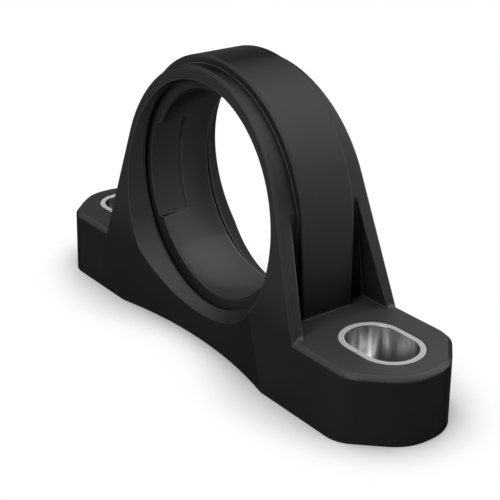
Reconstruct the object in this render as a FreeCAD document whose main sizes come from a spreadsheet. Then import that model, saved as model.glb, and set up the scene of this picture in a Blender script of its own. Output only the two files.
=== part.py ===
"""Moulded plummer block housing for a spherical-seat insert bearing, with two rolled bolt-slot bushes.

Millimetres, +Z up. The origin is at the middle of the flat underside, +X runs along the base and the
bore's axis runs along Y. The filling slots open towards -Y, the front.
"""
import FreeCAD, Part

import math
import os

import Sketcher
from FreeCAD import Placement, Rotation, Vector

DIMENSIONS = {
    # base and feet
    "base_length": 158.0,
    "base_width": 39.0,
    "face_taper": 4.9,
    "foot_height": 19.3,
    "tip_width": 13.0,
    "side_corner_round": 9.0,
    "tip_corner_round": 13.5,
    "waist_half_length": 35.5,
    "waist_depth": 4.3,
    # ring and legs
    "centre_height": 42.9,
    "collar_radius": 36.8,
    "band_rise": 2.4,
    "band_inset": 10.9,
    "leg_foot_half": 46.8,
    "web_half": 36.8,
    "plate_thickness": 3.3,
    "plate_draft": 1.75,
    # bore
    "seat_radius": 31.0,
    "seat_inset": 10.5,
    "seat_chamfer": 0.5,
    "groove_radius": 34.0,
    "lip_radius": 32.5,
    "lip_inset": 7.5,
    "groove_front_inset": 8.1,
    "groove_back_inset": 9.2,
    "mouth_angle": 31.0,
    "slot_radius": 31.4,
    "slot_half_height": 14.6,
    "slot_end": 0.5,
    # bolt slots and bushes
    "slot_inset": 18.5,
    "bush_length": 24.4,
    "bush_width": 17.7,
    "bush_wall": 1.55,
    "bush_gap": 0.35,
    "bush_fit": 0.0,
    # rounded edges and corners
    "foot_edge_bevel": 1.2,
    "leg_root_round": 1.5,
    "leg_edge_bevel": 0.62,
    "band_edge_bevel": 0.5,
    # how far a cut that goes right through reaches
    "reach": 100.0,
}

# sizes that follow from others: how far out the band stands and where the bolt slots sit
BAND_RADIUS = "(sizes.collar_radius + sizes.band_rise)"
SLOT_MIDDLE = "(sizes.base_length / 2 - sizes.slot_inset)"

ORIGIN = -1
CENTRE = 3


def make_sheet(doc):
    sheet = doc.addObject("Spreadsheet::Sheet", "sizes")
    for row, (alias, value) in enumerate(DIMENSIONS.items(), start=1):
        sheet.set(f"A{row}", alias)
        sheet.set(f"B{row}", str(value))
        sheet.setAlias(f"B{row}", alias)
    return sheet


def size(name):
    return DIMENSIONS[name]


def band_radius():
    return size("collar_radius") + size("band_rise")


def slot_middle():
    return size("base_length") / 2 - size("slot_inset")


def make_body(doc, name):
    body = doc.addObject("PartDesign::Body", name)
    body.Label = name
    body.Placement = Placement()
    return body


def plane(body, role):
    return next(feature for feature in body.Origin.OriginFeatures if feature.Role == role)


def make_sketch(body, name, role, offset=None):
    """A sketch on one of the body's own planes; offset maps an axis of the plane to a size."""
    sketch = body.newObject("Sketcher::SketchObject", name)
    sketch.AttachmentSupport = (plane(body, role), [""])
    sketch.MapMode = "FlatFace"
    for axis, expression in (offset or {}).items():
        sketch.setExpression(f"AttachmentOffset.Base.{axis}", expression)
    return sketch


def pin(sketch, edge, end, x=None, y=None):
    """Holds a point of the sketch at the sizes x and y, measured from its origin."""
    for kind, axis, expression in (("DistanceX", -2, x), ("DistanceY", -1, y)):
        if expression is None:
            continue
        if expression == "0":
            sketch.addConstraint(Sketcher.Constraint("PointOnObject", edge, end, axis))
            continue
        point = sketch.getPoint(edge, end)
        value = point.x if kind == "DistanceX" else point.y
        index = sketch.addConstraint(Sketcher.Constraint(kind, ORIGIN, 1, edge, end, value))
        sketch.setExpression(f"Constraints[{index}]", expression)


def bind_radius(sketch, edge, expression):
    value = sketch.Geometry[edge].Radius
    index = sketch.addConstraint(Sketcher.Constraint("Radius", edge, value))
    sketch.setExpression(f"Constraints[{index}]", expression)


def add_loop(sketch, corners):
    """A closed polygon through corners, each an (x, y) guess with its two expressions."""
    count = len(corners)
    first = len(sketch.Geometry)
    for i, corner in enumerate(corners):
        following = corners[(i + 1) % count]
        sketch.addGeometry(Part.LineSegment(Vector(*corner[0], 0), Vector(*following[0], 0)), False)
    for i in range(count):
        join = Sketcher.Constraint("Coincident", first + i, 2, first + (i + 1) % count, 1)
        sketch.addConstraint(join)
    for i, (_, x, y) in enumerate(corners):
        pin(sketch, first + i, 1, x, y)


def add_stadium(sketch, centre, length, width):
    """An oblong along X: centre, length and width are (value, expression) pairs."""
    radius = width[0] / 2
    half = (length[0] - width[0]) / 2
    right = Vector(centre[0] + half, 0, 0)
    left = Vector(centre[0] - half, 0, 0)
    up = Vector(0, radius, 0)
    arcs = [
        Part.ArcOfCircle(Part.Circle(right, Vector(0, 0, 1), radius), -math.pi / 2, math.pi / 2),
        Part.ArcOfCircle(Part.Circle(left, Vector(0, 0, 1), radius), math.pi / 2, 3 * math.pi / 2),
    ]
    first = len(sketch.Geometry)
    sketch.addGeometry(arcs[0], False)
    sketch.addGeometry(Part.LineSegment(right + up, left + up), False)
    sketch.addGeometry(arcs[1], False)
    sketch.addGeometry(Part.LineSegment(left - up, right - up), False)
    for a, end_a, b, end_b in ((0, 2, 1, 1), (1, 2, 2, 1), (2, 2, 3, 1), (3, 2, 0, 1)):
        sketch.addConstraint(Sketcher.Constraint("Tangent", first + a, end_a, first + b, end_b))
    reach = f"(({length[1]}) - ({width[1]})) / 2"
    pin(sketch, first, CENTRE, f"{centre[1]} + {reach}", "0")
    pin(sketch, first + 2, CENTRE, f"{centre[1]} - {reach}", "0")
    bind_radius(sketch, first, f"({width[1]}) / 2")


def pad(body, sketch, name, length, midplane=False):
    feature = body.newObject("PartDesign::Pad", name)
    feature.Profile = sketch
    feature.SideType = "Symmetric" if midplane else "One side"
    feature.setExpression("Length", length)
    return feature


def cut(body, sketch, name, length, midplane=False, reverse=False):
    feature = body.newObject("PartDesign::Pocket", name)
    feature.Profile = sketch
    feature.SideType = "Symmetric" if midplane else "One side"
    feature.Reversed = reverse
    feature.setExpression("Length", length)
    return feature


def mirrored(body, features, name, role):
    feature = body.newObject("PartDesign::Mirrored", name)
    feature.Originals = features
    feature.MirrorPlane = (plane(body, role), [""])
    body.Tip = feature
    return feature


def edges_where(shape, test):
    return [f"Edge{i}" for i, edge in enumerate(shape.Edges, start=1) if test(edge)]


def round_edges(doc, body, name, test, radius):
    """Rounds the edges of the body's last feature for which test is true."""
    doc.recompute()
    base = body.Tip
    feature = body.newObject("PartDesign::Fillet", name)
    feature.Refine = False
    feature.Base = (base, edges_where(base.Shape, test))
    feature.setExpression("Radius", radius)
    doc.recompute()
    return feature


def bevel_edges(doc, body, name, test, width):
    """Bevels the edges of the body's last feature for which test is true."""
    doc.recompute()
    base = body.Tip
    feature = body.newObject("PartDesign::Chamfer", name)
    feature.Refine = False
    feature.Base = (base, edges_where(base.Shape, test))
    feature.setExpression("Size", width)
    doc.recompute()
    return feature


def middle(edge):
    first, last = edge.ParameterRange
    return edge.valueAt((first + last) / 2)


def is_level(edge, height):
    first, last = edge.ParameterRange
    return all(abs(edge.valueAt(first + (last - first) * k / 4).z - height) < 0.01 for k in range(5))


def on_face(point):
    """Whether a point lies on the leaning front or rear face."""
    lean = point.z * math.tan(math.radians(size("face_taper")))
    return abs(abs(point.y) - (size("base_width") / 2 - lean)) < 0.05


def in_bolt_slot(edge):
    """Whether an edge belongs to the rim of a bolt slot."""
    point = middle(edge)
    along = abs(abs(point.x) - slot_middle())
    return along < size("bush_length") / 2 + 0.5 and abs(point.y) < size("bush_width") / 2 + 0.5


def from_centre(point):
    """The distance of a point from the bore's axis."""
    return math.hypot(point.x, point.z - size("centre_height"))


def is_steep(edge):
    ends = [vertex.Point for vertex in edge.Vertexes]
    return len(ends) == 2 and abs((ends[0] - ends[1]).normalize().z) > 0.98


def make_foot_slab(body):
    """The base with its two feet: straight sides, 45 degree corners and blunt tips."""
    half, wide, tip = size("base_length") / 2, size("base_width") / 2, size("tip_width") / 2
    x_end, y_side, y_end = "sizes.base_length / 2", "sizes.base_width / 2", "sizes.tip_width / 2"
    x_side = "(sizes.base_length / 2 - (sizes.base_width - sizes.tip_width) / 2)"
    quarter = [
        ((half + tip - wide, -wide), x_side, f"-{y_side}"),
        ((half, -tip), x_end, f"-{y_end}"),
        ((half, tip), x_end, y_end),
        ((half + tip - wide, wide), x_side, y_side),
    ]
    opposite = [((-x, -y), f"-{ex}", ey.lstrip("-") if ey.startswith("-") else f"-{ey}")
                for (x, y), ex, ey in quarter]
    outline = make_sketch(body, "base_outline", "XY_Plane")
    add_loop(outline, quarter + opposite)
    pad(body, outline, "base", "sizes.foot_height")


def make_ring_and_legs(body):
    """The full-width ring whose legs run down, tangent to it, onto the feet."""
    sketch = make_sketch(body, "leg_outline", "XZ_Plane")
    radius, height = size("collar_radius"), size("centre_height")
    foot, top = size("leg_foot_half"), size("foot_height")
    lean = math.atan2(height - top, foot) + math.asin(radius / math.hypot(foot, height - top)) - math.pi / 2
    touch = Vector(radius * math.cos(lean), height + radius * math.sin(lean), 0)
    mirror = Vector(-touch.x, touch.y, 0)
    arc = Part.Circle(Vector(0, height, 0), Vector(0, 0, 1), radius)
    sketch.addGeometry(Part.ArcOfCircle(arc, lean, math.pi - lean), False)
    left, right = (Vector(-foot, top, 0), Vector(-foot, 0, 0)), (Vector(foot, 0, 0), Vector(foot, top, 0))
    corners = [mirror, *left, *right, touch]
    for start, end in zip(corners, corners[1:]):
        sketch.addGeometry(Part.LineSegment(start, end), False)
    sketch.addConstraint(Sketcher.Constraint("Tangent", 0, 2, 1, 1))
    sketch.addConstraint(Sketcher.Constraint("Tangent", 5, 2, 0, 1))
    for i in range(1, 5):
        sketch.addConstraint(Sketcher.Constraint("Coincident", i, 2, i + 1, 1))
    pin(sketch, 0, CENTRE, "0", "sizes.centre_height")
    bind_radius(sketch, 0, "sizes.collar_radius")
    pin(sketch, 1, 2, "-sizes.leg_foot_half", "sizes.foot_height")
    pin(sketch, 2, 2, "-sizes.leg_foot_half", "0")
    pin(sketch, 3, 2, "sizes.leg_foot_half", "0")
    pin(sketch, 4, 2, "sizes.leg_foot_half", "sizes.foot_height")
    pad(body, sketch, "ring_and_legs", "sizes.base_width", midplane=True)


def make_side_pockets(body):
    """The open pocket in each leg, between a front and a rear plate that thicken upwards."""
    slope, draft = (math.tan(math.radians(size(name))) for name in ("face_taper", "plate_draft"))
    low, high = size("foot_height"), size("centre_height") + size("collar_radius") / 2
    wide = size("base_width") / 2 - size("plate_thickness")
    y_low, y_high = wide - low * slope, wide - high * slope - (high - low) * draft
    z_high = "(sizes.centre_height + sizes.collar_radius / 2)"
    foot_side = "sizes.base_width / 2 - sizes.plate_thickness - {} * tan(sizes.face_taper * 1deg)"
    at_low = f"({foot_side.format('sizes.foot_height')})"
    at_high = (f"({foot_side.format(z_high)}"
               f" - ({z_high} - sizes.foot_height) * tan(sizes.plate_draft * 1deg))")
    sketch = make_sketch(body, "pocket_outline", "YZ_Plane", {"z": "sizes.web_half"})
    add_loop(sketch, [
        ((-y_low, low), f"-{at_low}", "sizes.foot_height"),
        ((y_low, low), at_low, "sizes.foot_height"),
        ((y_high, high), at_high, z_high),
        ((-y_high, high), f"-{at_high}", z_high),
    ])
    pocket = cut(body, sketch, "side_pocket", "sizes.reach", reverse=True)
    return mirrored(body, [pocket], "side_pockets", "YZ_Plane")


def make_band(body):
    """The raised middle band of the ring, which runs straight down inside the pockets to the feet."""
    sketch = make_sketch(body, "band_outline", "XZ_Plane")
    radius, height, low = band_radius(), size("centre_height"), size("foot_height") / 2
    arc = Part.Circle(Vector(0, height, 0), Vector(0, 0, 1), radius)
    sketch.addGeometry(Part.ArcOfCircle(arc, 0, math.pi), False)
    corners = [Vector(x, z, 0) for x, z in
               ((-radius, height), (-radius, low), (radius, low), (radius, height))]
    for start, end in zip(corners, corners[1:]):
        sketch.addGeometry(Part.LineSegment(start, end), False)
    sketch.addConstraint(Sketcher.Constraint("Tangent", 0, 2, 1, 1))
    sketch.addConstraint(Sketcher.Constraint("Tangent", 3, 2, 0, 1))
    for i in (1, 2):
        sketch.addConstraint(Sketcher.Constraint("Coincident", i, 2, i + 1, 1))
    pin(sketch, 0, CENTRE, "0", "sizes.centre_height")
    bind_radius(sketch, 0, BAND_RADIUS)
    pin(sketch, 1, 2, f"-{BAND_RADIUS}", "sizes.foot_height / 2")
    pin(sketch, 2, 2, BAND_RADIUS, "sizes.foot_height / 2")
    pad(body, sketch, "band", "sizes.base_width - 2 * sizes.band_inset", midplane=True)


def taper_faces(body):
    """Leans the front and rear faces inwards, from the underside to the top of the ring."""
    slope = math.tan(math.radians(size("face_taper")))
    wide, reach = size("base_width") / 2, size("reach")
    sketch = make_sketch(body, "face_wedge", "YZ_Plane")
    outside = "-sizes.base_width"
    add_loop(sketch, [
        ((-wide, 0), "-sizes.base_width / 2", "0"),
        ((-(wide - reach * slope), reach),
         "-(sizes.base_width / 2 - sizes.reach * tan(sizes.face_taper * 1deg))", "sizes.reach"),
        ((-2 * wide, reach), outside, "sizes.reach"),
        ((-2 * wide, 0), outside, "0"),
    ])
    wedge = cut(body, sketch, "front_face", "sizes.reach * 2", midplane=True)
    return mirrored(body, [wedge], "tapered_faces", "XZ_Plane")


def round_foot_corners(doc, body):
    """Rounds the upright corners of the feet, first where a side meets a 45 degree face."""
    wide, end = size("base_width") / 2, size("base_length") / 2
    chamfer = wide - size("tip_width") / 2

    def side_corner(edge):
        point = middle(edge)
        return is_steep(edge) and abs(point.x) > end - chamfer - 1 and abs(point.y) > wide - chamfer / 2

    def tip_corner(edge):
        return is_steep(edge) and abs(abs(middle(edge).x) - end) < 0.1

    round_edges(doc, body, "side_corners", side_corner, "sizes.side_corner_round")
    round_edges(doc, body, "tip_corners", tip_corner, "sizes.tip_corner_round")


def soften_feet_and_legs(doc, body):
    """Breaks the feet's top edges and the outer edges of legs and ring, and rounds the legs' roots."""
    top, root = size("foot_height"), size("leg_foot_half")

    def foot_edge(edge):
        return is_level(edge, top) and abs(middle(edge).x) > root + 0.1 and not in_bolt_slot(edge)

    def leg_root(edge):
        return is_level(edge, top) and abs(abs(middle(edge).x) - root) < 0.1

    def leg_edge(edge):
        point = middle(edge)
        on_outline = from_centre(point) > size("collar_radius") - 0.1
        return on_outline and on_face(point) and point.z > top + size("leg_root_round") * 2

    bevel_edges(doc, body, "foot_edges", foot_edge, "sizes.foot_edge_bevel")
    round_edges(doc, body, "leg_roots", leg_root, "sizes.leg_root_round")
    bevel_edges(doc, body, "leg_and_ring_edges", leg_edge, "sizes.leg_edge_bevel")


def soften_band(doc, body):
    """Breaks the band's two outer edges."""
    side, top = size("base_width") / 2 - size("band_inset"), size("foot_height")

    def on_side(edge):
        point = middle(edge)
        return abs(abs(point.y) - side) < 0.01 and not is_level(edge, top)

    def band_edge(edge):
        return on_side(edge) and from_centre(middle(edge)) > band_radius() - 0.1

    bevel_edges(doc, body, "band_edges", band_edge, "sizes.band_edge_bevel")


def make_waist(body):
    """The shallow upright hollow along the front and the rear of the base, between the feet."""
    half, depth, wide = size("waist_half_length"), size("waist_depth"), size("base_width") / 2
    radius = (half ** 2 + depth ** 2) / (2 * depth)
    turn = math.asin(half / radius)
    centre = Vector(0, depth - wide - radius, 0)
    circle = Part.Circle(centre, Vector(0, 0, 1), radius)
    sketch = make_sketch(body, "waist_outline", "XY_Plane")
    sketch.addGeometry(Part.ArcOfCircle(circle, math.pi / 2 - turn, math.pi / 2 + turn), False)
    corners = [Vector(x, y, 0) for x, y in
               ((-half, -wide), (-half, -2 * wide), (half, -2 * wide), (half, -wide))]
    for start, end in zip(corners, corners[1:]):
        sketch.addGeometry(Part.LineSegment(start, end), False)
    for a, b in ((0, 1), (1, 2), (2, 3), (3, 0)):
        sketch.addConstraint(Sketcher.Constraint("Coincident", a, 2, b, 1))
    pin(sketch, 1, 1, "-sizes.waist_half_length", "-sizes.base_width / 2")
    pin(sketch, 1, 2, "-sizes.waist_half_length", "-sizes.base_width")
    pin(sketch, 2, 2, "sizes.waist_half_length", "-sizes.base_width")
    pin(sketch, 3, 2, "sizes.waist_half_length", "-sizes.base_width / 2")
    bind_radius(sketch, 0, "(sizes.waist_half_length ^ 2 + sizes.waist_depth ^ 2) / (2 * sizes.waist_depth)")
    hollow = cut(body, sketch, "front_waist", "sizes.reach", reverse=True)
    return mirrored(body, [hollow], "waist", "XZ_Plane")


def bore_profile():
    """Half the bore's section from its middle to the rear, as (along, outward) guesses and sizes."""
    wide, flare = size("base_width") / 2, math.tan(math.radians(size("mouth_angle")))
    names = ("seat_inset", "groove_back_inset", "groove_front_inset", "lip_inset")
    seat, back, front, lip = (wide - size(name) for name in names)
    seat_at, back_at, front_at, lip_at = (f"(sizes.base_width / 2 - sizes.{name})" for name in names)
    edge, chamfer = math.sqrt(size("seat_radius") ** 2 - seat ** 2), size("seat_chamfer")
    edge_at = f"sqrt(sizes.seat_radius ^ 2 - {seat_at} ^ 2)"
    far, far_at = wide + 1, "(sizes.base_width / 2 + 1)"
    mouth = size("lip_radius") + (far - lip) * flare
    mouth_at = "(sizes.lip_radius + (sizes.lip_inset + 1) * tan(sizes.mouth_angle * 1deg))"
    return [
        ((seat, edge), seat_at, edge_at),
        ((seat + chamfer, edge + chamfer),
         f"({seat_at} + sizes.seat_chamfer)", f"({edge_at} + sizes.seat_chamfer)"),
        ((back, size("groove_radius")), back_at, "sizes.groove_radius"),
        ((front, size("groove_radius")), front_at, "sizes.groove_radius"),
        ((front, size("lip_radius")), front_at, "sizes.lip_radius"),
        ((lip, size("lip_radius")), lip_at, "sizes.lip_radius"),
        ((far, mouth), far_at, mouth_at),
        ((far, 0), far_at, "0"),
    ]


def make_bore(body):
    """The bore: spherical seat, a snap groove each side of it, and a flared mouth at each face."""
    rear = bore_profile()
    front = [((-y, z), f"-{ey}", ez) for (y, z), ey, ez in reversed(rear)]
    points = rear + front
    sketch = make_sketch(body, "bore_section", "YZ_Plane", {"y": "sizes.centre_height"})
    for start, end in zip(points, points[1:]):
        sketch.addGeometry(Part.LineSegment(Vector(*start[0], 0), Vector(*end[0], 0)), False)
    count = len(points) - 1
    turn = math.asin((size("base_width") / 2 - size("seat_inset")) / size("seat_radius"))
    seat = Part.Circle(Vector(0, 0, 0), Vector(0, 0, 1), size("seat_radius"))
    sketch.addGeometry(Part.ArcOfCircle(seat, math.pi / 2 - turn, math.pi / 2 + turn), False)
    for i in range(count - 1):
        sketch.addConstraint(Sketcher.Constraint("Coincident", i, 2, i + 1, 1))
    sketch.addConstraint(Sketcher.Constraint("Coincident", count, 1, 0, 1))
    sketch.addConstraint(Sketcher.Constraint("Coincident", count, 2, count - 1, 2))
    for i, (_, x, y) in enumerate(points[:-1]):
        pin(sketch, i, 1, x, y)
    pin(sketch, count - 1, 2, points[-1][1], points[-1][2])
    bind_radius(sketch, count, "sizes.seat_radius")
    groove = body.newObject("PartDesign::Groove", "bore")
    groove.Profile = sketch
    groove.ReferenceAxis = (sketch, ["H_Axis"])
    groove.Angle = 360.0
    return groove


def make_filling_slots(body):
    """The two slots, left and right of the bore, through which the bearing goes in edgewise."""
    radius, half = size("slot_radius"), size("slot_half_height")
    turn = math.asin(half / radius)
    across = radius * math.cos(turn)
    circle = Part.Circle(Vector(0, 0, 0), Vector(0, 0, 1), radius)
    offset = {"y": "sizes.centre_height", "z": "-sizes.slot_end"}
    sketch = make_sketch(body, "filling_outline", "XZ_Plane", offset)
    sketch.addGeometry(Part.ArcOfCircle(circle, -turn, turn), False)
    sketch.addGeometry(Part.LineSegment(Vector(across, half, 0), Vector(-across, half, 0)), False)
    sketch.addGeometry(Part.ArcOfCircle(circle, math.pi - turn, math.pi + turn), False)
    sketch.addGeometry(Part.LineSegment(Vector(-across, -half, 0), Vector(across, -half, 0)), False)
    for a, b in ((0, 1), (1, 2), (2, 3), (3, 0)):
        sketch.addConstraint(Sketcher.Constraint("Coincident", a, 2, b, 1))
    for edge in (0, 2):
        sketch.addConstraint(Sketcher.Constraint("Coincident", edge, CENTRE, ORIGIN, 1))
        bind_radius(sketch, edge, "sizes.slot_radius")
    pin(sketch, 0, 2, None, "sizes.slot_half_height")
    pin(sketch, 0, 1, None, "-sizes.slot_half_height")
    pin(sketch, 2, 1, None, "sizes.slot_half_height")
    pin(sketch, 2, 2, None, "-sizes.slot_half_height")
    return cut(body, sketch, "filling_slots", "sizes.base_width", reverse=True)


def make_bolt_slots(body):
    """The oblong hole in each foot that holds a bush."""
    sketch = make_sketch(body, "bolt_slot_outline", "XY_Plane")
    fit = size("bush_fit")
    length = (size("bush_length") + 2 * fit, "(sizes.bush_length + 2 * sizes.bush_fit)")
    width = (size("bush_width") + 2 * fit, "(sizes.bush_width + 2 * sizes.bush_fit)")
    add_stadium(sketch, (slot_middle(), SLOT_MIDDLE), length, width)
    add_stadium(sketch, (-slot_middle(), f"-{SLOT_MIDDLE}"), length, width)
    return cut(body, sketch, "bolt_slots", "sizes.reach", reverse=True)


def make_housing(doc):
    body = make_body(doc, "housing")
    make_foot_slab(body)
    make_ring_and_legs(body)
    make_side_pockets(body)
    make_band(body)
    taper_faces(body)
    round_foot_corners(doc, body)
    make_waist(body)
    make_bore(body)
    make_filling_slots(body)
    make_bolt_slots(body)
    soften_feet_and_legs(doc, body)
    soften_band(doc, body)
    return body


def make_bush(doc, name, side):
    """A rolled oblong bush, open at the seam in the middle of its front side."""
    body = make_body(doc, name)
    middle_x = (side * slot_middle(), f"{side} * {SLOT_MIDDLE}")
    outline = make_sketch(body, f"{name}_outline", "XY_Plane")
    length, width, wall = size("bush_length"), size("bush_width"), size("bush_wall")
    add_stadium(outline, middle_x, (length, "sizes.bush_length"), (width, "sizes.bush_width"))
    inner_length = (length - 2 * wall, "(sizes.bush_length - 2 * sizes.bush_wall)")
    inner_width = (width - 2 * wall, "(sizes.bush_width - 2 * sizes.bush_wall)")
    add_stadium(outline, middle_x, inner_length, inner_width)
    pad(body, outline, f"{name}_wall", "sizes.foot_height")
    seam = make_sketch(body, f"{name}_seam_outline", "XY_Plane")
    gap = size("bush_gap") / 2
    left, right = f"({middle_x[1]} - sizes.bush_gap / 2)", f"({middle_x[1]} + sizes.bush_gap / 2)"
    add_loop(seam, [
        ((middle_x[0] - gap, -width), left, "-sizes.bush_width"),
        ((middle_x[0] + gap, -width), right, "-sizes.bush_width"),
        ((middle_x[0] + gap, -width / 4), right, "-sizes.bush_width / 4"),
        ((middle_x[0] - gap, -width / 4), left, "-sizes.bush_width / 4"),
    ])
    cut(body, seam, f"{name}_seam", "sizes.reach", reverse=True)
    doc.recompute()
    return body


def check(doc, bodies):
    for item in doc.Objects:
        if "Invalid" in item.State or "Error" in item.State:
            raise RuntimeError(f"{item.Name} failed: {item.State}")
    for body in bodies:
        shape = body.Shape
        if shape.isNull() or not shape.isValid() or len(shape.Solids) != 1:
            raise RuntimeError(f"{body.Label} is not one valid solid")


def main():
    doc = FreeCAD.newDocument("plummer_block")
    make_sheet(doc)
    doc.recompute()
    bodies = [make_housing(doc), make_bush(doc, "left_bush", -1), make_bush(doc, "right_bush", 1)]
    doc.recompute()
    check(doc, bodies)
    os.makedirs("parts", exist_ok=True)
    for body in bodies:
        body.Shape.exportStep(f"parts/{body.Label}.step")
        box = body.Shape.BoundBox
        print(body.Label, "volume", round(body.Shape.Volume, 1),
              "box", [round(v, 2) for v in (box.XMin, box.YMin, box.ZMin, box.XMax, box.YMax, box.ZMax)])


main()
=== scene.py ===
"""Studio picture of a moulded plummer block housing with two rolled steel bolt bushes."""
import math

import bpy
from mathutils import Matrix, Vector


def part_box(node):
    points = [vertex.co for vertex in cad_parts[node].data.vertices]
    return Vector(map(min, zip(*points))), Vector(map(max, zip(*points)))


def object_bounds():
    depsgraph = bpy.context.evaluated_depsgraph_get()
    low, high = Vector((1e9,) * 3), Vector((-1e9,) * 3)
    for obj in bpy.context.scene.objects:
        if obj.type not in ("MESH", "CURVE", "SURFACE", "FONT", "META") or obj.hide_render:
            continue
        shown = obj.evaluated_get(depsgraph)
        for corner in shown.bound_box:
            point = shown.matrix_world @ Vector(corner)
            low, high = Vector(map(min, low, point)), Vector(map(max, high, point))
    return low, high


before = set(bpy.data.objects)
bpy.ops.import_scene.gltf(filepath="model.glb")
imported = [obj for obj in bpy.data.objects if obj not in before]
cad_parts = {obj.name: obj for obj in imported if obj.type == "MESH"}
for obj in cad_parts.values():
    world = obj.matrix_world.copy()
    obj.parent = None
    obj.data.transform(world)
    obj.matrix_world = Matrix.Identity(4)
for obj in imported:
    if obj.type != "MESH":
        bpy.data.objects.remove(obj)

MM = 0.001
CAD_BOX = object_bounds()

# The camera: where it looks from, and where the aim point falls in the picture.
PICTURE_SIDE = 500
LENS = 84.03
SENSOR = 36.0
AZIMUTH = 53.69
ELEVATION = 23.41
ROLL = 0.37
DISTANCE = 335.03 * MM
AIM = Vector((0, 0, 30 * MM))
AIM_PIXEL = (240.48, 230.70)

# The room: strengths of its light, the grey that diffuse rays meet on the floor and the cards, how far each
# lies under the feet, and the shares of a card's half length where its white band begins and ends.
WHITE = (1, 1, 1, 1)
ROOM_LIGHT = 0.05
CARD_GLOW = 2.6
CARD_DIM = 0.02
CARD_GREY = (0.3, 0.3, 0.3, 1)
FLOOR_GREY = (0.12, 0.12, 0.12, 1)
FLOOR_HALF = 3.0
FLOOR_DROP = 0.02 * MM
CARD_DROP = 0.01 * MM
CARD_RISE = (0.30, 0.42)
CARD_FALL = (0.72, 0.60)
LIGHT_AIM = Vector((0, 0, 30 * MM))

# The pieces' colours, as linear light.
MOULD_BLACK = (0.0130, 0.0130, 0.0134, 1)
MOULD_GREY = (0.0190, 0.0190, 0.0196, 1)
# The rubbed edges' lighter colour: wear, and also a painted highlight along the edges.
EDGE_WEAR_AND_HIGHLIGHT = (0.13, 0.13, 0.131, 1)
# The foot tops' lighter colour: painted light falling on them from above.
FOOT_TOP_PAINTED_LIGHT = (0.052, 0.052, 0.0525, 1)
STEEL_LIGHT = (0.56, 0.56, 0.552, 1)
STEEL_DARK = (0.37, 0.37, 0.37, 1)
STEEL_RIM = (0.45, 0.45, 0.446, 1)
RIM_ROUGHNESS = 0.95

# The moulding's patterns: the scale and detail of its slow clouds of tone, its fibres and its finer grain,
# the strength and depth of their bumps, and the roughness that each brings.
CLOUD = (38.0, 3.0)
FIBRE = (900.0, 4.0)
GRAIN = (2600.0, 2.0)
FIBRE_BUMP = (0.10, 0.05 * MM)
GRAIN_BUMP = (0.22, 0.03 * MM)
CLOUD_ROUGHNESS = (0.46, 0.54)
GRAIN_ROUGHNESS = (-0.05, 0.05)

# The moulding's sheen: its level seen square on and at a slant, with Layer Weight's Facing at both, and the
# share of it on faces that aren't turned upwards: low down, and high up, with the heights between them.
SHEEN_LEVELS = (0.48, 0.005)
SHEEN_FACING = (0.10, 0.67)
LOW_SHARE = 0.09
HIGH_SHARE = 0.42
LOW_AND_HIGH = (20 * MM, 32 * MM)

# How far the shader rounds each kind of edge, and how wide, how strong and how smooth the rubbed edges are;
# their lighter colour is wear and a painted highlight.
FOOT_EDGE_ROUND = 1.1 * MM
MOULD_EDGE_ROUND = 0.5 * MM
BUSH_EDGE_ROUND = 0.25 * MM
WEAR_AND_HIGHLIGHT_WIDTH = 0.6 * MM
WEAR_AND_HIGHLIGHT_SHARE = 0.7
WEAR_POLISH = 0.07

# The bushes' streaks: how a noise is stretched for the fine and the broad ones, the roughness of the dark
# and the light ones, and the strength and depth of their bump.
FINE_STRETCH = (1300, 1300, 16)
BROAD_STRETCH = (240, 240, 3)
STREAK_ROUGHNESS = (0.27, 0.17)
STREAK_BUMP = (0.08, 0.02 * MM)

# The floor's soft shadow: how far it reaches, and the openness at which it is darkest and gone.
SHADOW_REACH = 32 * MM
SHADOW_OPENNESS = (0.40, 0.86)
SHADOW_SHADES = (0.25, 1.0)


def make_camera():
    """The photograph's camera, moved sideways until the aim point falls on AIM_PIXEL."""
    azimuth, elevation, roll = (math.radians(a) for a in (AZIMUTH, ELEVATION, ROLL))
    back = Vector((math.sin(azimuth) * math.cos(elevation),
                   -math.cos(azimuth) * math.cos(elevation), math.sin(elevation)))
    level = (-back).cross(Vector((0, 0, 1))).normalized()
    sink = (-back).cross(level)
    right = math.cos(roll) * level + math.sin(roll) * sink
    down = math.cos(roll) * sink - math.sin(roll) * level
    focal = LENS / SENSOR * PICTURE_SIDE
    across = (AIM_PIXEL[0] - PICTURE_SIDE / 2) / focal * DISTANCE
    below = (AIM_PIXEL[1] - PICTURE_SIDE / 2) / focal * DISTANCE
    place = AIM - across * right - below * down + DISTANCE * back
    data = bpy.data.cameras.new("camera")
    data.lens, data.sensor_width = LENS, SENSOR
    data.dof.use_dof = False
    camera = bpy.data.objects.new("camera", data)
    turn = Matrix((right, -down, back)).transposed()
    camera.matrix_world = Matrix.Translation(place) @ turn.to_4x4()
    bpy.context.scene.collection.objects.link(camera)
    bpy.context.scene.camera = camera


def background_rays(tree):
    """1 for the rays that see the white background: camera, glossy and transmission rays."""
    path = tree.nodes.new("ShaderNodeLightPath")
    total = path.outputs["Is Camera Ray"]
    for name in ("Is Glossy Ray", "Is Transmission Ray"):
        add = tree.nodes.new("ShaderNodeMath")
        add.operation, add.use_clamp = "ADD", True
        tree.links.new(total, add.inputs[0])
        tree.links.new(path.outputs[name], add.inputs[1])
        total = add.outputs["Value"]
    return total


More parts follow.
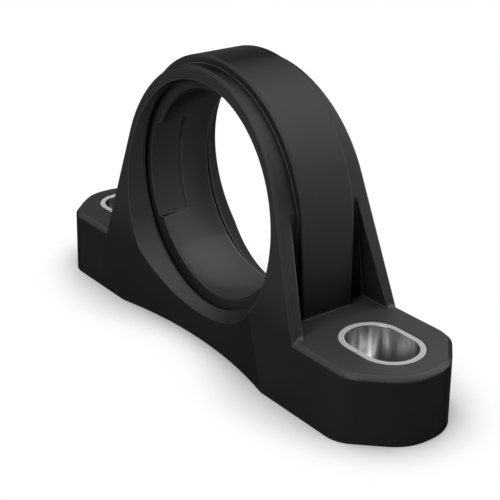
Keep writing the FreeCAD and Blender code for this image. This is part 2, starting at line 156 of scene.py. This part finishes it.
class Nodes:
    """The node tree of one material, with short calls for the nodes in use here."""

    def __init__(self, name):
        self.material = bpy.data.materials.new(name)
        self.material.use_nodes = True
        self.tree = self.material.node_tree
        self.tree.nodes.clear()
        self.output = self.add("ShaderNodeOutputMaterial")
        self.shader = self.add("ShaderNodeBsdfPrincipled")
        self.link(self.shader.outputs["BSDF"], self.output.inputs["Surface"])
        self.place = self.add("ShaderNodeTexCoord").outputs["Object"]

    def add(self, kind, **values):
        node = self.tree.nodes.new(kind)
        for name, value in values.items():
            setattr(node, name, value)
        return node

    def link(self, source, target):
        self.tree.links.new(source, target)

    def put(self, target, value):
        """Sets a socket to a value, or links it where the value is another socket."""
        if isinstance(value, bpy.types.NodeSocket):
            self.link(value, target)
        else:
            target.default_value = value

    def stretched(self, scale):
        mapping = self.add("ShaderNodeMapping")
        mapping.inputs["Scale"].default_value = scale
        self.link(self.place, mapping.inputs["Vector"])
        return mapping.outputs["Vector"]

    def z_of(self, vector):
        split = self.add("ShaderNodeSeparateXYZ")
        self.link(vector, split.inputs["Vector"])
        return split.outputs["Z"]

    def noise(self, scale, detail, place=None):
        noise = self.add("ShaderNodeTexNoise")
        noise.inputs["Scale"].default_value = scale
        noise.inputs["Detail"].default_value = detail
        self.link(place or self.place, noise.inputs["Vector"])
        return noise.outputs["Fac"]

    def ramp(self, source, low, high, dark=0.0, light=1.0, kind="LINEAR"):
        """Maps low..high of the source to dark..light."""
        ramp = self.add("ShaderNodeMapRange", interpolation_type=kind)
        for name, value in (("From Min", low), ("From Max", high), ("To Min", dark), ("To Max", light)):
            ramp.inputs[name].default_value = value
        self.link(source, ramp.inputs["Value"])
        return ramp.outputs["Result"]

    def mixed(self, factor, first, second):
        mix = self.add("ShaderNodeMix", data_type="RGBA")
        self.put(mix.inputs["Factor"], factor)
        self.put(mix.inputs["A"], first)
        self.put(mix.inputs["B"], second)
        return mix.outputs["Result"]

    def math(self, operation, first, second):
        node = self.add("ShaderNodeMath", operation=operation)
        self.put(node.inputs[0], first)
        self.put(node.inputs[1], second)
        return node.outputs["Value"]

    def rounded(self, radius):
        bevel = self.add("ShaderNodeBevel", samples=8)
        self.put(bevel.inputs["Radius"], radius)
        return bevel.outputs["Normal"]

    def bump(self, height, strength, depth, normal):
        bump = self.add("ShaderNodeBump")
        bump.inputs["Strength"].default_value = strength
        bump.inputs["Distance"].default_value = depth
        self.link(height, bump.inputs["Height"])
        self.link(normal, bump.inputs["Normal"])
        return bump.outputs["Normal"]

    def edges(self, radius):
        """About 0 on a flat face, rising to 1 at an edge."""
        rounded = self.rounded(radius)
        flat = self.add("ShaderNodeNewGeometry").outputs["Normal"]
        dot = self.add("ShaderNodeVectorMath", operation="DOT_PRODUCT")
        self.link(rounded, dot.inputs[0])
        self.link(flat, dot.inputs[1])
        return self.ramp(dot.outputs["Value"], 0.985, 0.86)


def make_mould_material():
    """Black moulded composite: fine satin grain, slow tone changes, rubbed edges lightened with wear and a
    painted highlight, and foot tops lightened with painted top light.
    """
    nodes = Nodes("black_moulding")
    cloud = nodes.noise(*CLOUD)
    grain = nodes.noise(*GRAIN)
    fibre = nodes.noise(*FIBRE)
    height = nodes.z_of(nodes.place)
    foot_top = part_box("left_bush")[1][2]
    radius = nodes.ramp(height, foot_top + 0.2 * MM, foot_top + 1.5 * MM, FOOT_EDGE_ROUND, MOULD_EDGE_ROUND)
    normal = nodes.rounded(radius)
    upward = nodes.z_of(normal)

    colour = nodes.mixed(nodes.ramp(cloud, 0.35, 0.68), MOULD_BLACK, MOULD_GREY)
    # The rubbed-edge mask marks wear and also paints a highlight along the edges.
    wear_and_highlight = nodes.math("MULTIPLY", nodes.edges(WEAR_AND_HIGHLIGHT_WIDTH), nodes.ramp(fibre, 0.38, 0.62, 0.6, 1.0))
    colour = nodes.mixed(nodes.math("MULTIPLY", wear_and_highlight, WEAR_AND_HIGHLIGHT_SHARE), colour, EDGE_WEAR_AND_HIGHLIGHT)
    # Painted light: the up-facing foot tops are lightened in colour.
    foot = nodes.math("MULTIPLY", nodes.ramp(upward, 0.55, 0.97),
                      nodes.ramp(height, foot_top + 1.5 * MM, foot_top + 0.5 * MM))
    nodes.link(nodes.mixed(foot, colour, FOOT_TOP_PAINTED_LIGHT), nodes.shader.inputs["Base Color"])

    rough = nodes.math("ADD", nodes.ramp(cloud, 0.3, 0.7, *CLOUD_ROUGHNESS),
                       nodes.ramp(grain, 0.3, 0.7, *GRAIN_ROUGHNESS))
    rough = nodes.math("SUBTRACT", rough, nodes.math("MULTIPLY", wear_and_highlight, WEAR_POLISH))
    nodes.link(rough, nodes.shader.inputs["Roughness"])

    normal = nodes.bump(fibre, *FIBRE_BUMP, normal)
    normal = nodes.bump(grain, *GRAIN_BUMP, normal)
    nodes.link(normal, nodes.shader.inputs["Normal"])

    facing = nodes.add("ShaderNodeLayerWeight").outputs["Facing"]
    sheen = nodes.ramp(facing, *SHEEN_FACING, *SHEEN_LEVELS, "SMOOTHSTEP")
    handled = nodes.math("MAXIMUM", nodes.ramp(upward, 0.1, 0.9, LOW_SHARE, 1.0),
                         nodes.ramp(height, *LOW_AND_HIGH, LOW_SHARE, HIGH_SHARE))
    nodes.link(nodes.math("MULTIPLY", sheen, handled), nodes.shader.inputs["Specular IOR Level"])
    return nodes.material


def make_steel_material():
    """Rolled steel strip: broad and fine streaks drawn along its height, and a dull, even rim."""
    nodes = Nodes("rolled_steel")
    fine = nodes.noise(1.0, 4.0, nodes.stretched(FINE_STRETCH))
    broad = nodes.noise(1.0, 1.0, nodes.stretched(BROAD_STRETCH))
    tone = nodes.math("ADD", nodes.ramp(fine, 0.3, 0.7, 0.0, 0.5), nodes.ramp(broad, 0.36, 0.62, 0.0, 0.5))
    wall = nodes.mixed(tone, STEEL_DARK, STEEL_LIGHT)
    rim = nodes.ramp(nodes.z_of(nodes.add("ShaderNodeNewGeometry").outputs["Normal"]), 0.5, 0.9)
    nodes.link(nodes.mixed(rim, wall, STEEL_RIM), nodes.shader.inputs["Base Color"])
    rough = nodes.math("MAXIMUM", nodes.ramp(tone, 0.1, 0.9, *STREAK_ROUGHNESS),
                       nodes.math("MULTIPLY", rim, RIM_ROUGHNESS))
    nodes.link(rough, nodes.shader.inputs["Roughness"])
    normal = nodes.bump(fine, *STREAK_BUMP, nodes.rounded(BUSH_EDGE_ROUND))
    nodes.link(normal, nodes.shader.inputs["Normal"])
    nodes.shader.inputs["Metallic"].default_value = 1.0
    return nodes.material


def dress(node, material):
    """Gives a CAD node its material."""
    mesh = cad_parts[node].data
    mesh.materials.clear()
    mesh.materials.append(material)
    for polygon in mesh.polygons:
        polygon.material_index = 0


def seen_as_floor(nodes, rays):
    """White to the given rays, darker close round the feet; all other rays meet the material's own shader."""
    near = nodes.add("ShaderNodeAmbientOcclusion", samples=24)
    near.inputs["Distance"].default_value = SHADOW_REACH
    glow = nodes.add("ShaderNodeEmission")
    openness = nodes.ramp(near.outputs["AO"], *SHADOW_OPENNESS, *SHADOW_SHADES)
    nodes.link(openness, glow.inputs["Strength"])
    mix = nodes.add("ShaderNodeMixShader")
    nodes.link(rays, mix.inputs["Fac"])
    nodes.link(nodes.shader.outputs["BSDF"], mix.inputs[1])
    nodes.link(glow.outputs["Emission"], mix.inputs[2])
    nodes.link(mix.outputs["Shader"], nodes.output.inputs["Surface"])


def make_sheet(name, place, half_x, half_y, material):
    """A flat sheet of the stage, level, about its place."""
    mesh = bpy.data.meshes.new(name)
    corners = [(-half_x, -half_y, 0), (half_x, -half_y, 0), (half_x, half_y, 0), (-half_x, half_y, 0)]
    mesh.from_pydata(corners, [], [(0, 1, 2, 3)])
    sheet = bpy.data.objects.new(name, mesh)
    sheet.location = place
    bpy.context.scene.collection.objects.link(sheet)
    mesh.materials.append(material)


def make_floor():
    """A white floor that runs out of sight and keeps the object's shadow."""
    nodes = Nodes("floor_white")
    nodes.shader.inputs["Base Color"].default_value = FLOOR_GREY
    nodes.shader.inputs["Roughness"].default_value = 0.8
    seen_as_floor(nodes, background_rays(nodes.tree))
    make_sheet("floor", (0, 0, CAD_BOX[0][2] - FLOOR_DROP), FLOOR_HALF, FLOOR_HALF, nodes.material)


def make_slot_cards():
    """A card under each bush with one white band across it, which shows only as light inside the bush."""
    for name in ("left_bush", "right_bush"):
        low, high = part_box(name)
        half_x, half_y = (high[0] - low[0]) / 2, (high[1] - low[1]) / 2
        nodes = Nodes(f"{name}_paper")
        along = nodes.add("ShaderNodeSeparateXYZ")
        nodes.link(nodes.place, along.inputs["Vector"])
        rise = nodes.ramp(along.outputs["X"], *(share * half_x for share in CARD_RISE), CARD_DIM, CARD_GLOW)
        fall = nodes.ramp(along.outputs["X"], *(share * half_x for share in CARD_FALL))
        nodes.link(nodes.math("MULTIPLY", rise, fall), nodes.shader.inputs["Emission Strength"])
        nodes.shader.inputs["Emission Color"].default_value = WHITE
        nodes.shader.inputs["Base Color"].default_value = CARD_GREY
        seen_as_floor(nodes, nodes.add("ShaderNodeLightPath").outputs["Is Camera Ray"])
        place = ((low[0] + high[0]) / 2, (low[1] + high[1]) / 2, CAD_BOX[0][2] - CARD_DROP)
        make_sheet(f"{name}_card", place, half_x, half_y, nodes.material)


def make_world():
    """White to the rays that see the background, and an even, weak light to the rest."""
    world = bpy.data.worlds.new("studio")
    world.use_nodes = True
    tree = world.node_tree
    tree.nodes.clear()
    seen = tree.nodes.new("ShaderNodeBackground")
    seen.inputs["Color"].default_value = WHITE
    light = tree.nodes.new("ShaderNodeBackground")
    light.inputs["Color"].default_value = WHITE
    light.inputs["Strength"].default_value = ROOM_LIGHT
    mix = tree.nodes.new("ShaderNodeMixShader")
    output = tree.nodes.new("ShaderNodeOutputWorld")
    tree.links.new(background_rays(tree), mix.inputs["Fac"])
    tree.links.new(light.outputs["Background"], mix.inputs[1])
    tree.links.new(seen.outputs["Background"], mix.inputs[2])
    tree.links.new(mix.outputs["Shader"], output.inputs["Surface"])
    bpy.context.scene.world = world


def make_light(name, place, side, glow):
    """A square soft box that faces the object; its glow is the light's strength per area."""
    data = bpy.data.lights.new(name, "AREA")
    data.shape = "SQUARE"
    data.size = side
    data.energy = glow * math.pi * side ** 2
    light = bpy.data.objects.new(name, data)
    light.location = place
    light.rotation_euler = (LIGHT_AIM - Vector(place)).to_track_quat("-Z", "Y").to_euler()
    bpy.context.scene.collection.objects.link(light)


def make_lights():
    """Three lights behind and above, a small low one that reaches into the bore, and one in front."""
    make_light("main_light", place=(0.16, 0.46, 0.60), side=0.8, glow=1.2)
    make_light("foot_light", place=(-0.28, 0.50, 0.30), side=0.35, glow=0.85)
    make_light("right_light", place=(0.48, 0.52, 0.30), side=0.45, glow=0.7)
    make_light("bore_light", place=(0.11, 0.22, 0.055), side=0.09, glow=5.5)
    make_light("front_light", place=(0.20, -0.76, 0.50), side=0.6, glow=4.3)


def main():
    """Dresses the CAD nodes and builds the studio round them."""
    make_camera()
    mould = make_mould_material()
    steel = make_steel_material()
    dress("housing", mould)
    dress("left_bush", steel)
    dress("right_bush", steel)
    make_floor()
    make_slot_cards()
    make_world()
    make_lights()
    bpy.context.scene.view_settings.view_transform = "Standard"


main()
